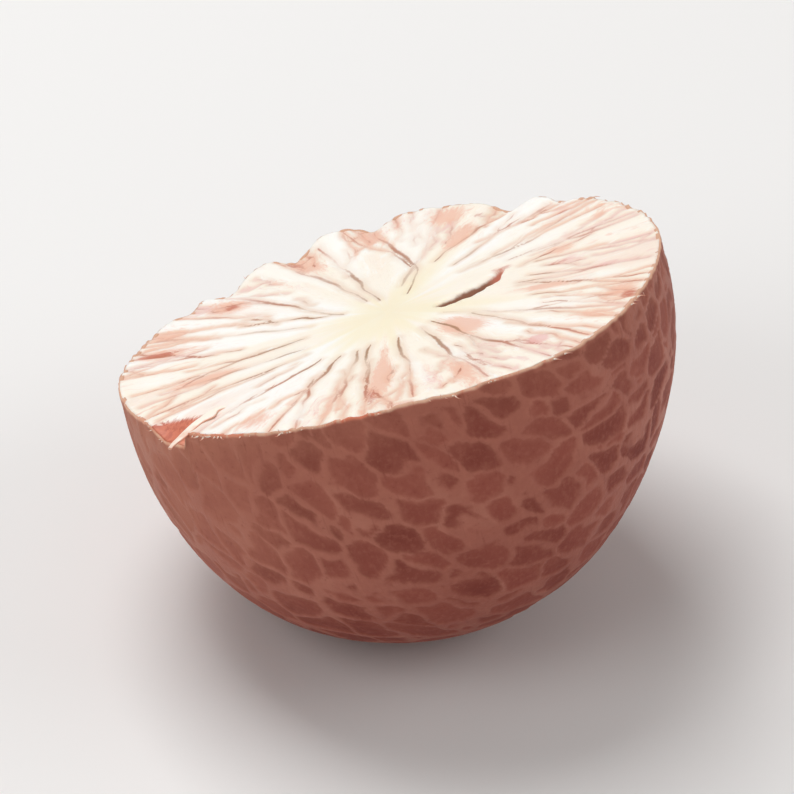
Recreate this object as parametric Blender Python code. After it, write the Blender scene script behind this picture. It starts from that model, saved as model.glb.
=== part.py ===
"""Half of a dried betel nut, the round seed of the areca palm, sawn across a little above its
widest girth. Its cut face has radial folds, a slit near the core and a wedge torn from the rim.
It lies on its round side and leans to the back and to the left, so the cut face slopes.
Units are metres, +Z is up, and the origin is the middle of the underside of the bounding box."""

import math

import bmesh
import bpy
import numpy as np
from mathutils import Euler, Vector

for old in list(bpy.data.objects):
    bpy.data.objects.remove(old, do_unlink=True)

# Driving dimensions
FACE_RADIUS = 0.0160             # cut face, middle to rim
CUT_ABOVE_GIRTH = 0.0010         # how far above the widest girth the saw went through
DOME_RADIUS = math.hypot(FACE_RADIUS, CUT_ABOVE_GIRTH)
DOME_STRETCH = 1.07              # the round end is a little longer than a ball's
REST_SPOT_DEPTH = 0.00045        # how much is worn flat where the half rests

# Lie of the half
LEAN_BACK = math.radians(16.7)
LEAN_LEFT = math.radians(16.1)
TURN = math.radians(10.3)

# Outline of the cut face: waves round the rim, their size as a share, and the angle of a peak
OUTLINE_WAVES = ((1, 0.018, -10.0), (3, 0.018, -53.0), (4, 0.010, -60.0), (5, 0.011, 159.0))

# Folds that run out from the core
FOLD_COUNT = 27
FOLD_DEPTH = 0.00028
FOLD_HALF_WIDTH = math.radians(3.4)
FOLD_START = 0.30                # share of the face radius where they begin
FOLD_RUN = 0.35                  # share over which they reach their depth
FOLD_UNEVENNESS = 0.30           # how far a fold strays, as a share of their spacing
FOLD_SWAY = 0.05                 # radians

# Broad unevenness of the sawn face: height, and the lengths of its waves each way
SAW_HEIGHT = 0.00012
SAW_WAVES = (0.0031, 0.0026)

# Nicks in the rim: angle in degrees, depth in millimetres, half width in degrees
NICKS = ((44.0, 0.25, 3.5), (58.0, 0.55, 4.0), (88.0, 0.35, 3.5), (106.0, 0.45, 3.5),
         (124.0, 0.45, 4.5), (136.0, 0.30, 3.5), (278.0, 0.20, 4.0))
NICK_START = 0.72                # share of the face radius where they begin
NICK_INWARD = 0.5                # how far they pull the outline in, as a share of their depth

# The wedge torn from the rim
TEAR_FROM = math.radians(201.0)
TEAR_TO = math.radians(219.0)
TEAR_DEPTH = 0.0010
TEAR_START = 0.76
TEAR_SLOPE = 0.16                # radians over which it slopes in
TEAR_WALL = 0.05                 # radians that its steep wall takes

# The slit near the core: its path in shares of the face radius
SLIT_PATH = ((0.18, -0.08), (0.34, 0.01), (0.44, 0.12))
SLIT_DEPTH = 0.0011
SLIT_HALF_WIDTH = 0.00042

# The round side
LUMPS = ((2, -4.0, 0.0040), (3, 2.0, 0.0025), (5, 3.0, 0.0020))   # waves round, waves down, size
BELLY_SIZE = 0.070               # share of the dome's radius
BELLY_ANGLE = math.radians(245.0)
RIM_BAND = 0.22                  # share of the run down over which the rim's folds fade out

# Mesh
RING_COUNTS = (16, 32, 64, 96, 144)
FACE_SPACING = 0.00055
DOME_SPACING = 0.00125
FACE_RINGS = (0.05, 0.11, 0.17, 0.22, 0.26, 0.30, 0.34, 0.38, 0.42, 0.46, 0.51, 0.56, 0.62,
              0.69, 0.75, 0.81, 0.87, 0.92, 0.965, 1.0)
DOME_RINGS = 24
FINE_DOME_RINGS = 3              # rings below the rim that keep its full count
SPOT_CORNER_GAP = 0.00030        # corners of the flat spot are no closer than this

# Finish
KERNEL_COLOUR = (0.86, 0.74, 0.56, 1.0)
KERNEL_ROUGHNESS = 0.6
CREASE_ANGLE = math.radians(40.0)  # edges sharper than this stay crisp


def smooth_step(value, low, high):
    """Rises from 0 to 1 as value goes from low to high."""
    share = np.clip((value - low) / (high - low), 0.0, 1.0)
    return share * share * (3.0 - 2.0 * share)


def bell(distance, half_width):
    """A soft bump: 1 in the middle, next to nothing beyond twice the half width."""
    return np.exp(-(distance / half_width) ** 2)


def turn_from(middle, angle):
    """Signed turn from middle to angle, between -pi and pi."""
    return (angle - middle + math.pi) % (2.0 * math.pi) - math.pi


def nick_depth(angle):
    """How deep the rim is nicked at an angle, in metres."""
    depth = np.zeros_like(angle)
    for middle, deep, half_width in NICKS:
        away = turn_from(math.radians(middle), angle)
        depth += deep / 1000.0 * bell(away, math.radians(half_width))
    return depth


def outline_radius(angle):
    """Radius of the cut face at an angle."""
    share = np.ones_like(angle)
    for waves, size, peak in OUTLINE_WAVES:
        share += size * np.cos(waves * (angle - math.radians(peak)))
    return FACE_RADIUS * share - NICK_INWARD * nick_depth(angle)


def fold_depth(angle, share):
    """Valleys between the folds, unevenly spaced and swaying a little as they run out."""
    depth = np.zeros_like(angle)
    for fold in range(FOLD_COUNT):
        stray = FOLD_UNEVENNESS * math.sin(1.7 * fold)
        middle = 2.0 * math.pi * (fold + stray) / FOLD_COUNT
        sway = FOLD_SWAY * math.sin(2.9 * fold) * math.sin(5.0 * share + fold)
        deep = FOLD_DEPTH * (0.65 + 0.35 * math.sin(2.3 * fold + 1.0))
        depth += deep * bell(turn_from(middle + sway, angle), FOLD_HALF_WIDTH)
    return depth * smooth_step(share, FOLD_START, FOLD_START + FOLD_RUN)


def tear_depth(angle, share):
    """The torn wedge: it slopes in from one side and ends in a steep wall at the other."""
    rise = smooth_step(angle, TEAR_FROM, TEAR_FROM + TEAR_SLOPE)
    wall = 1.0 - smooth_step(angle, TEAR_TO - TEAR_WALL, TEAR_TO)
    return TEAR_DEPTH * rise * wall * smooth_step(share, TEAR_START, 1.0)


def slit_depth(x, y):
    """The crack along its bent path."""
    nearest = np.full_like(x, FACE_RADIUS)
    corners = [np.array(corner) * FACE_RADIUS for corner in SLIT_PATH]
    for start, end in zip(corners, corners[1:]):
        run = end - start
        along = np.clip(((x - start[0]) * run[0] + (y - start[1]) * run[1]) / run.dot(run), 0.0, 1.0)
        away = np.hypot(x - start[0] - along * run[0], y - start[1] - along * run[1])
        nearest = np.minimum(nearest, away)
    return SLIT_DEPTH * bell(nearest, SLIT_HALF_WIDTH)


def face_points(share, angle):
    """A ring of the cut face, at a share of its radius."""
    radius = share * outline_radius(angle)
    x = radius * np.cos(angle)
    y = radius * np.sin(angle)
    unevenness = SAW_HEIGHT * np.sin(x / SAW_WAVES[0] + 1.0) * np.cos(y / SAW_WAVES[1])
    nicks = nick_depth(angle) * smooth_step(share, NICK_START, 1.0)
    z = unevenness - fold_depth(angle, share) - tear_depth(angle, share) - nicks - slit_depth(x, y)
    return np.column_stack((x, y, z))


def dome_points(run, angle):
    """A ring of the round side: run goes from 0 at the rim to 1 at the far end."""
    rim = math.acos(CUT_ABOVE_GIRTH / DOME_RADIUS)
    down = rim + run * (math.pi - rim)
    swell = BELLY_SIZE * np.cos(angle - BELLY_ANGLE)
    for around, downward, height in LUMPS:
        swell += height * np.cos(around * angle + downward * down)
    size = 1.0 + swell * math.sin(math.pi * run) ** 2
    fade = 1.0 - smooth_step(run, 0.0, RIM_BAND)
    outline = 1.0 + fade * (outline_radius(angle) / FACE_RADIUS - 1.0)
    across = DOME_RADIUS * math.sin(down) * size * outline
    depth = DOME_STRETCH * (CUT_ABOVE_GIRTH - DOME_RADIUS * math.cos(down) * size)
    z = fade * face_points(1.0, angle)[:, 2] - depth
    return np.column_stack((across * np.cos(angle), across * np.sin(angle), z))


def ring_count(radius, spacing):
    """The smallest count of points that keeps them no further apart than the spacing."""
    fitting = [count for count in RING_COUNTS if 2.0 * math.pi * radius / count <= spacing]
    return fitting[0] if fitting else RING_COUNTS[-1]


def add_ring(bm, make_points, place, count):
    """Adds one ring of vertices, evenly spaced in angle."""
    angle = np.arange(count) * (2.0 * math.pi / count)
    return [bm.verts.new(point) for point in make_points(place, angle)]


def join_rings(bm, first, second):
    """Fills the strip between two closed rings, whatever their counts."""
    i = 0
    j = 0
    while i < len(first) or j < len(second):
        here = first[i % len(first)]
        there = second[j % len(second)]
        if (j + 1) * len(first) <= (i + 1) * len(second):
            bm.faces.new((here, there, second[(j + 1) % len(second)]))
            j += 1
        else:
            bm.faces.new((here, there, first[(i + 1) % len(first)]))
            i += 1


def close_ring(bm, ring, tip, tip_first):
    """Fans a ring to a single point, which comes before it or after it in the run of rings."""
    centre = bm.verts.new(tip)
    for here, there in zip(ring, ring[1:] + ring[:1]):
        bm.faces.new((centre, here, there) if tip_first else (centre, there, here))


def add_skin(bm):
    """The whole surface as one run of rings: face middle, rim, round side, far end."""
    rings = []
    for share in FACE_RINGS:
        count = ring_count(share * FACE_RADIUS, FACE_SPACING)
        rings.append(add_ring(bm, face_points, share, count))
    for step in range(1, DOME_RINGS):
        run = step / DOME_RINGS
        rim = math.acos(CUT_ABOVE_GIRTH / DOME_RADIUS)
        radius = DOME_RADIUS * math.sin(rim + run * (math.pi - rim))
        count = RING_COUNTS[-1] if step <= FINE_DOME_RINGS else ring_count(radius, DOME_SPACING)
        rings.append(add_ring(bm, dome_points, run, count))
    for first, second in zip(rings, rings[1:]):
        join_rings(bm, first, second)
    close_ring(bm, rings[0], face_points(0.0, np.zeros(1))[0], tip_first=True)
    close_ring(bm, rings[-1], dome_points(1.0, np.zeros(1))[0], tip_first=False)


def flatten_underside(bm, lean):
    """Cuts a small flat spot where the leaning half touches the ground."""
    down = lean.inverted() @ Vector((0.0, 0.0, -1.0))
    lowest = max(vert.co.dot(down) for vert in bm.verts)
    cut = bmesh.ops.bisect_plane(
        bm,
        geom=bm.verts[:] + bm.edges[:] + bm.faces[:],
        plane_co=down * (lowest - REST_SPOT_DEPTH),
        plane_no=down,
        clear_outer=True,
    )
    corners = [item for item in cut["geom_cut"] if isinstance(item, bmesh.types.BMVert)]
    bmesh.ops.remove_doubles(bm, verts=corners, dist=SPOT_CORNER_GAP)
    open_edges = [edge for edge in bm.edges if edge.is_boundary]
    bmesh.ops.contextual_create(bm, geom=open_edges)


def kernel_material():
    """Dry, pale kernel with a low sheen."""
    material = bpy.data.materials.new("betel nut kernel")
    material.use_nodes = True
    shader = material.node_tree.nodes["Principled BSDF"]
    shader.inputs["Base Color"].default_value = KERNEL_COLOUR
    shader.inputs["Roughness"].default_value = KERNEL_ROUGHNESS
    shader.inputs["Metallic"].default_value = 0.0
    return material


def stand_on_origin(half):
    """Moves the half so that the middle of its bounding box's underside is the origin."""
    bpy.context.view_layer.update()
    places = [half.matrix_world @ vert.co for vert in half.data.vertices]
    low = Vector(min(place[axis] for place in places) for axis in range(3))
    high = Vector(max(place[axis] for place in places) for axis in range(3))
    half.location = -Vector(((low.x + high.x) / 2.0, (low.y + high.y) / 2.0, low.z))


def build_half():
    """The half nut, in one piece."""
    lean = Euler((0.0, 0.0, TURN)).to_matrix()
    lean.rotate(Euler((-LEAN_BACK, 0.0, 0.0)))
    lean.rotate(Euler((0.0, -LEAN_LEFT, 0.0)))
    bm = bmesh.new()
    add_skin(bm)
    flatten_underside(bm, lean)
    mesh = bpy.data.meshes.new("betel_nut_half")
    bm.to_mesh(mesh)
    bm.free()
    mesh.materials.append(kernel_material())
    mesh.shade_smooth()
    mesh.set_sharp_from_angle(angle=CREASE_ANGLE)
    half = bpy.data.objects.new("betel_nut_half", mesh)
    half.rotation_euler = lean.to_euler()
    bpy.context.scene.collection.objects.link(half)
    stand_on_origin(half)
    return half


build_half()
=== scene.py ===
# %% [markdown]
# # A halved betel nut
# A dried betel nut is the seed of the areca palm. Sawn in half it shows a pale, hard kernel with
# thin brown veins that run out from a plain core, and a brown skin with a paler net over it.
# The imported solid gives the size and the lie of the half. This script gives it its looks, in four
# pieces: the kernel, the skin round it, the splinters along the sawn rim, and one torn sliver.

import math

import bpy
import numpy as np
from mathutils import Euler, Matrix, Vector


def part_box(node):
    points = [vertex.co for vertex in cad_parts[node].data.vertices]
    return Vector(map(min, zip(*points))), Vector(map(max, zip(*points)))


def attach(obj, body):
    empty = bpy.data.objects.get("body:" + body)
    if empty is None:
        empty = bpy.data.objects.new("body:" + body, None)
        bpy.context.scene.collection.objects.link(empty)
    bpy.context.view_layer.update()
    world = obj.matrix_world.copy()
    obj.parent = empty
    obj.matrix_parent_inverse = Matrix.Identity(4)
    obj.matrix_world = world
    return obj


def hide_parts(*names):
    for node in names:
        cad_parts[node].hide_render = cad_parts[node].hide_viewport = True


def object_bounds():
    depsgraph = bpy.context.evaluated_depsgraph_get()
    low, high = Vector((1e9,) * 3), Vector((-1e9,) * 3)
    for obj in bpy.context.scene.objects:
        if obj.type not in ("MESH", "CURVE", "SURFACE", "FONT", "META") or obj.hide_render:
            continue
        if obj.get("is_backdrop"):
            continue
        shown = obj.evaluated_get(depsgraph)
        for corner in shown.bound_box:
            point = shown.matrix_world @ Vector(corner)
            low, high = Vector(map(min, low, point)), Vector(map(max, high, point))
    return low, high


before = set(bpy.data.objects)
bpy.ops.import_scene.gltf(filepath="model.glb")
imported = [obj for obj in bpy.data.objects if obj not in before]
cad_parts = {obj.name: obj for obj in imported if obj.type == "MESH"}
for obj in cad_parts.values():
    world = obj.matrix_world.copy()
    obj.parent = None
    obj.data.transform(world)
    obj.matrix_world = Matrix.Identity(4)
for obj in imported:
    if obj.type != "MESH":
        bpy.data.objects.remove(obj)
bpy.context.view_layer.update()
NODE = "betel_nut_half"
MM = 0.001

# %% [markdown]
# ## The broad shape
# The half is described in its own frame: the sawn face lies in the plane z = 0, its middle is the
# origin, and the round side hangs below. Angles run round the face, counted from the right.
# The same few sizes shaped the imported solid, so the fine surface made here lies on it.

# %% Sizes of the half
FACE_RADIUS = 16.0 * MM
CUT_ABOVE_GIRTH = 1.0 * MM
DOME_RADIUS = math.hypot(FACE_RADIUS, CUT_ABOVE_GIRTH)
DOME_STRETCH = 1.07
RIM_LEVEL = math.acos(CUT_ABOVE_GIRTH / DOME_RADIUS)

OUTLINE_WAVES = ((1, 0.018, -10.0), (3, 0.018, -53.0), (4, 0.010, -60.0), (5, 0.011, 159.0))
LUMPS = ((2, -4.0, 0.0040), (3, 2.0, 0.0025), (5, 3.0, 0.0020))
BELLY_SIZE = 0.070
BELLY_ANGLE = math.radians(245.0)
RIM_BAND = 0.22

LEAN_BACK = math.radians(16.7)
LEAN_LEFT = math.radians(16.1)
TURN = math.radians(10.3)


# %% Small helpers for shapes
def smooth_step(value, low, high):
    """Rises from 0 to 1 as value goes from low to high."""
    share = np.clip((value - low) / (high - low), 0.0, 1.0)
    return share * share * (3.0 - 2.0 * share)


def bell(distance, half_width):
    """A soft bump: 1 in the middle, next to nothing beyond twice the half width."""
    return np.exp(-(distance / half_width) ** 2)


def turn_from(middle, angle):
    """Signed turn from middle to angle, between -pi and pi."""
    return (angle - middle + math.pi) % (2.0 * math.pi) - math.pi


def marks_round(marks, angle):
    """Adds up soft marks round the nut, each with its angle, size and half width in degrees."""
    total = np.zeros_like(angle)
    for middle, size, half_width in marks:
        total += size * bell(turn_from(math.radians(middle), angle), math.radians(half_width))
    return total


def fine_waves(angle, seed, slowest, fastest, count=14):
    """A wavering line round the nut: many small waves of seeded phase, about -1 to 1."""
    draw = np.random.default_rng(seed)
    waves = draw.integers(slowest, fastest, count)
    phases = draw.uniform(0.0, 2.0 * math.pi, count)
    total = sum(np.sin(wave * angle + phase) for wave, phase in zip(waves, phases))
    return total / math.sqrt(count)


# %% [markdown]
# ## What the saw and the knocks left
# The rim is nicked where folds of the kernel reach it, a wedge has torn away at the front left,
# and a slit has opened beside the core as the nut dried. Each is a named place on the face.

# %% Nicks, chips, tear and slit
# angle in degrees, size in millimetres, half width in degrees
NICKS = ((44.0, 0.25, 3.5), (58.0, 0.55, 4.0), (88.0, 0.35, 3.5), (106.0, 0.45, 3.5),
         (124.0, 0.45, 4.5), (136.0, 0.30, 3.5), (278.0, 0.20, 4.0))
LOBE_TIPS = ((97.0, 0.36, 5.5), (113.0, 0.24, 4.5), (77.0, 0.16, 6.0), (50.0, 0.12, 4.0))
NICK_START = 0.72
NICK_INWARD = 0.5

CHIP_COUNT = 70
CHIP_DEPTH = 0.09 * MM
CHIP_SEED = 11

TEAR_FROM = math.radians(202.0)
TEAR_TO = math.radians(217.5)
TEAR_DEPTH = 0.85 * MM
TEAR_START = 0.78
TEAR_SLANT = 0.18
TEAR_SLOPE = 0.15
TEAR_WALL = 0.03

SLIT_PATH = ((0.17, -0.085), (0.24, -0.06), (0.32, -0.01), (0.38, 0.03), (0.43, 0.12))
SLIT_DEPTH = 0.7 * MM
SLIT_HALF_WIDTH = 0.40 * MM


def chip_depth(angle):
    """Small chips along the sawn edge, each with one steeper side."""
    draw = np.random.default_rng(CHIP_SEED)
    depth = np.zeros_like(angle)
    for _ in range(CHIP_COUNT):
        away = turn_from(draw.uniform(0.0, 2.0 * math.pi), angle)
        width = math.radians(draw.uniform(0.8, 3.0))
        deep = CHIP_DEPTH * draw.uniform(0.2, 1.0)
        steep = np.where(away > 0.0, width * 0.5, width)
        depth = np.maximum(depth, deep * bell(away, steep))
    return depth


def tear_depth(angle, share):
    """The torn wedge: a point inside the face, wide at the rim, with a steep wall on one side."""
    rise = smooth_step(angle, TEAR_FROM, TEAR_FROM + TEAR_SLOPE)
    wall = 1.0 - smooth_step(angle, TEAR_TO - TEAR_WALL, TEAR_TO)
    start = TEAR_START + TEAR_SLANT * np.clip((TEAR_TO - angle) / (TEAR_TO - TEAR_FROM), 0.0, 1.0)
    return TEAR_DEPTH * rise * wall * smooth_step(share, start, 1.0)


def slit_closeness(x, y):
    """1 on the slit's path, falling to 0 beside it; the slit narrows towards both ends."""
    corners = [np.array(corner) * FACE_RADIUS for corner in SLIT_PATH]
    close = np.zeros_like(x)
    for step, (start, end) in enumerate(zip(corners, corners[1:])):
        run = end - start
        along = np.clip(((x - start[0]) * run[0] + (y - start[1]) * run[1]) / run.dot(run), 0.0, 1.0)
        away = np.hypot(x - start[0] - along * run[0], y - start[1] - along * run[1])
        whole = (step + along) / (len(corners) - 1)
        uneven = 1.0 + 0.14 * np.sin(17.0 * whole + 1.0) + 0.08 * np.sin(41.0 * whole)
        swell = np.sin(math.pi * np.clip(whole, 0.0, 1.0) ** 0.75) ** 0.7
        width = SLIT_HALF_WIDTH * (0.22 + 0.78 * swell) * uneven
        close = np.maximum(close, bell(away, width))
    return close


def outline_radius(angle):
    """Radius of the sawn face at an angle."""
    share = np.ones_like(angle)
    for waves, size, peak in OUTLINE_WAVES:
        share += size * np.cos(waves * (angle - math.radians(peak)))
    return FACE_RADIUS * share - NICK_INWARD * MM * marks_round(NICKS, angle)


print("face across, mm:", round(2.0 * FACE_RADIUS / MM, 1))

# %% [markdown]
# ## Two surfaces
# The face is a level field seen from above: each point has a height. The round side is a ball
# that was stretched and bulged a little. Both are given as formulas of an angle and of how far
# the point lies from the middle, so any number of rings can be read from them.

# %% Points of the face and of the round side
SAW_HEIGHT = 0.12 * MM
SAW_WAVES = (3.1 * MM, 2.6 * MM)
EDGE_BAND = 0.05


def saw_unevenness(x, y):
    """The slow rise and fall that the saw left on the face."""
    return SAW_HEIGHT * np.sin(x / SAW_WAVES[0] + 1.0) * np.cos(y / SAW_WAVES[1])


def face_height(share, angle, radius):
    """Height of the sawn face: a slow unevenness, lobe tips above it, nicks and the tear below."""
    unevenness = saw_unevenness(radius * np.cos(angle), radius * np.sin(angle))
    rim = MM * (marks_round(LOBE_TIPS, angle) - marks_round(NICKS, angle))
    return unevenness + rim * smooth_step(share, NICK_START, 1.0) - tear_depth(angle, share)


def face_points(share, angle, edge=0.0):
    """Points of the sawn face at a share of its radius; edge is how far inside the rim it ends."""
    radius = share * (outline_radius(angle) - chip_depth(angle) - edge)
    x = radius * np.cos(angle)
    y = radius * np.sin(angle)
    chips = chip_depth(angle) * smooth_step(share, 0.965, 1.0)
    slit = SLIT_DEPTH * slit_closeness(x, y)
    return np.column_stack((x, y, face_height(share, angle, radius) - chips - slit))


def angle_down(run):
    """Angle from the top of the ball: run is 0 at the rim and 1 at the far end."""
    return RIM_LEVEL + run * (math.pi - RIM_LEVEL)


def side_points(run, angle, inset=0.0):
    """Points of the round side at a run down from the rim; inset goes inwards."""
    down = angle_down(run)
    swell = BELLY_SIZE * np.cos(angle - BELLY_ANGLE)
    for around, downward, height in LUMPS:
        swell += height * np.cos(around * angle + downward * down)
    size = 1.0 + swell * math.sin(math.pi * run) ** 2
    fade = 1.0 - smooth_step(run, 0.0, RIM_BAND)
    edge_fade = 1.0 - smooth_step(run, 0.0, EDGE_BAND)
    outline = 1.0 + fade * (outline_radius(angle) / FACE_RADIUS - 1.0)
    across = DOME_RADIUS * math.sin(down) * size * outline - edge_fade * chip_depth(angle)
    across -= inset * math.sin(down)
    depth = DOME_STRETCH * (CUT_ABOVE_GIRTH - DOME_RADIUS * math.cos(down) * size)
    depth += inset * math.cos(down)
    rim = face_height(1.0, angle, outline_radius(angle))
    z = fade * rim - edge_fade * chip_depth(angle) - depth
    return np.column_stack((across * np.cos(angle), across * np.sin(angle), z))


# %% [markdown]
# ## Rings into a closed mesh
# A ball or a disc is easiest to cover with rings. Near the middle a ring needs fewer points, so
# the count halves from one ring to the next where it can. One sequence of rings, begun and ended
# by a single point, gives a closed skin whose faces all point out.

# %% Joining rings
def ring_angles(count):
    """Angles of a ring's points."""
    return np.arange(count) * (2.0 * math.pi / count)


def ring_size(radius, table):
    """How many points a ring of that radius gets."""
    return next(count for limit, count in table if radius > limit)


def strip_faces(first, first_count, second, second_count):
    """Faces between two rings, whose counts are equal or one twice the other."""
    if first_count == second_count:
        return [(first + i, second + i, second + (i + 1) % second_count, first + (i + 1) % first_count)
                for i in range(first_count)]
    faces = []
    if second_count == 2 * first_count:
        for i in range(first_count):
            here, after = first + i, first + (i + 1) % first_count
            left, middle, right = (second + (2 * i + k) % second_count for k in range(3))
            faces += [(here, left, middle), (here, middle, after), (after, middle, right)]
    else:
        for i in range(second_count):
            here, after = second + i, second + (i + 1) % second_count
            left, middle, right = (first + (2 * i + k) % first_count for k in range(3))
            faces += [(left, here, middle), (middle, here, after), (middle, after, right)]
    return faces


def add_object(name, data):
    """Puts a mesh, a lamp or a camera in the scene."""
    thing = bpy.data.objects.new(name, data)
    bpy.context.scene.collection.objects.link(thing)
    return thing


def add_mesh(name, points, edges, faces):
    """Makes a mesh object from lists of points, edges and faces."""
    mesh = bpy.data.meshes.new(name)
    mesh.from_pydata(points, edges, faces)
    return add_object(name, mesh)


def closed_mesh(name, rings, first_tip, last_tip):
    """A mesh object from a first point, a run of rings and a last point."""
    points = np.vstack([first_tip, *rings, last_tip])
    sizes = [len(ring) for ring in rings]
    starts = [1 + sum(sizes[:row]) for row in range(len(rings))]
    faces = [(0, 1 + i, 1 + (i + 1) % sizes[0]) for i in range(sizes[0])]
    for row in range(len(rings) - 1):
        faces += strip_faces(starts[row], sizes[row], starts[row + 1], sizes[row + 1])
    last = len(points) - 1
    faces += [(last, starts[-1] + (i + 1) % sizes[-1], starts[-1] + i) for i in range(sizes[-1])]
    piece = add_mesh(name, points.tolist(), [], faces)
    piece.data.shade_smooth()
    print(name, "has", sum(len(face) - 2 for face in faces), "triangles")
    return piece


def per_point(rings, values, first, last):
    """One number for each point: a value or a row of values for each ring, and one for each tip."""
    rows = [np.broadcast_to(value, len(ring)) for ring, value in zip(rings, values)]
    return np.concatenate([[first], *rows, [last]])


def angles_of(rings):
    """The angle of each point of a closed mesh."""
    return per_point(rings, [ring_angles(len(ring)) for ring in rings], 0.0, 0.0)


def keep_numbers(piece, name, values):
    """Stores one number for each point of a piece."""
    attribute = piece.data.attributes.new(name, "FLOAT", "POINT")
    attribute.data.foreach_set("value", np.asarray(values, np.float32))


def keep_vectors(piece, name, values):
    """Stores one vector for each point of a piece."""
    attribute = piece.data.attributes.new(name, "FLOAT_VECTOR", "POINT")
    attribute.data.foreach_set("vector", np.asarray(values, np.float32).ravel())


# %% [markdown]
# ## The kernel
# The kernel is one closed body. Its face is cut into rings an eighth of a millimetre apart, fine
# enough for grooves a third of a millimetre wide. Its wall runs down inside the skin, where only
# the first millimetre can show past a chipped edge, and the rest may be coarse.

# %% Kernel mesh
FACE_STEPS = 124
RIM_COUNT = 768
FACE_COUNTS = ((8.0 * MM, RIM_COUNT), (4.0 * MM, 384), (2.0 * MM, 192), (1.0 * MM, 96), (0.5 * MM, 48),
               (-1, 24))
KERNEL_EDGE = 0.12 * MM
WALL_RUNS = (0.002, 0.006, 0.012, 0.02, 0.03, 0.045)
HIDDEN_COUNTS = (384, 192) + (96,) * 10 + (48, 24)
SKIN_LAP = 0.20 * MM


def kernel_rings():
    """Rings from the middle of the face, over the rim and down the wall, with where each lies."""
    rows = []
    for step in range(1, FACE_STEPS + 1):
        share = step / FACE_STEPS
        angle = ring_angles(ring_size(share * FACE_RADIUS, FACE_COUNTS))
        rows.append((face_points(share, angle, KERNEL_EDGE), share))
    for run in WALL_RUNS:
        rows.append((side_points(run, ring_angles(RIM_COUNT), KERNEL_EDGE), 1.0 + run))
    for row, count in enumerate(HIDDEN_COUNTS):
        run = WALL_RUNS[-1] + (1.0 - WALL_RUNS[-1]) * (row + 1) / (len(HIDDEN_COUNTS) + 1)
        rows.append((side_points(run, ring_angles(count), SKIN_LAP), 1.0 + run))
    return zip(*rows)


rings, ring_shares = kernel_rings()
kernel = closed_mesh("kernel", rings, face_points(0.0, np.zeros(1)),
                     side_points(1.0, np.zeros(1), SKIN_LAP))
kernel_angle = angles_of(rings)
kernel_share = per_point(rings, ring_shares, 0.0, 2.0)
kernel_place = np.vstack([np.zeros(3), *rings, np.zeros(3)])

# %% [markdown]
# ## The veins
# The kernel is folded into itself, and each fold shows on the cut as a thin brown vein between
# pale lobes. The strong veins are placed one by one, each by where it starts beside the core and
# where it meets the rim. Finer ones are drawn between them with a fixed seed, and some of both
# kinds fork. Every vein is a polyline in the plane of the face that wavers a little on its way.

# %% The strong veins
# start share, start angle, end share, end angle, darkness
STRONG_VEINS = (
    (0.17, 60, 0.97, 88, 1.0), (0.16, 95, 0.93, 101, 0.8), (0.21, 107, 0.98, 110, 0.7),
    (0.21, 139, 0.98, 127, 0.8), (0.27, 141, 0.62, 148, 1.0), (0.30, 158, 0.97, 152, 0.5),
    (0.31, 178, 0.84, 184, 0.7), (0.34, 197, 0.80, 189, 0.6), (0.36, 208, 0.96, 200, 0.8),
    (0.64, 169, 0.99, 161, 1.0), (0.38, 224, 0.98, 220, 0.9), (0.36, 235, 0.98, 238, 0.8),
    (0.33, 244, 0.88, 252, 0.6), (0.29, 251, 0.97, 259, 1.0), (0.28, 272, 0.93, 270, 0.8),
    (0.26, 291, 0.94, 286, 0.8), (0.24, 303, 0.97, 299, 1.0), (0.36, 319, 0.97, 309, 0.9),
    (0.24, 319, 0.95, 322, 0.6), (0.50, 351, 0.97, 335, 0.9), (0.52, 359, 0.96, 349, 0.7),
    (0.56, 12, 0.96, 4, 0.5), (0.50, 24, 0.97, 17, 0.5), (0.36, 37, 0.95, 30, 0.6),
    (0.42, 50, 0.96, 46, 0.5), (0.26, 74, 0.97, 73, 0.4), (0.48, 64, 0.96, 58, 0.7),
)
FINE_VEIN_COUNT = 62
FORK_SHARE = 0.45
VEIN_SEED = 5
VEIN_STEP = 0.25 * MM
VEIN_WIDTH = 0.11 * MM
VEIN_CURL = 1.6
PHASE_SPAN = 6.28


def vein_angle(start_angle, end_angle, along):
    """Where a vein has turned to after a share of its way; it turns most near its start."""
    turn = (end_angle - start_angle + 180.0) % 360.0 - 180.0
    return start_angle + turn * (1.0 - (1.0 - along) ** VEIN_CURL)


def vein_path(start_share, start_angle, end_share, end_angle, draw):
    """Points of one vein, with a slow bend and a fine tremble; angles in degrees."""
    count = max(4, int((end_share - start_share) * FACE_RADIUS / VEIN_STEP))
    along = np.linspace(0.0, 1.0, count)
    share = start_share + (end_share - start_share) * along
    angle = vein_angle(start_angle, end_angle, along)
    tremble = 0.0
    for waves, size in ((1.5, 1.1), (4.0, 0.55), (9.0, 0.28)):
        tremble = tremble + size * np.sin(waves * math.pi * along + draw.uniform(0.0, PHASE_SPAN))
    angle = np.radians(angle + tremble * np.sin(math.pi * along ** 0.7) / np.maximum(share, 0.25) * 0.6)
    radius = share * outline_radius(angle)
    return np.column_stack((radius * np.cos(angle), radius * np.sin(angle), 0.0 * radius)), along


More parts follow.
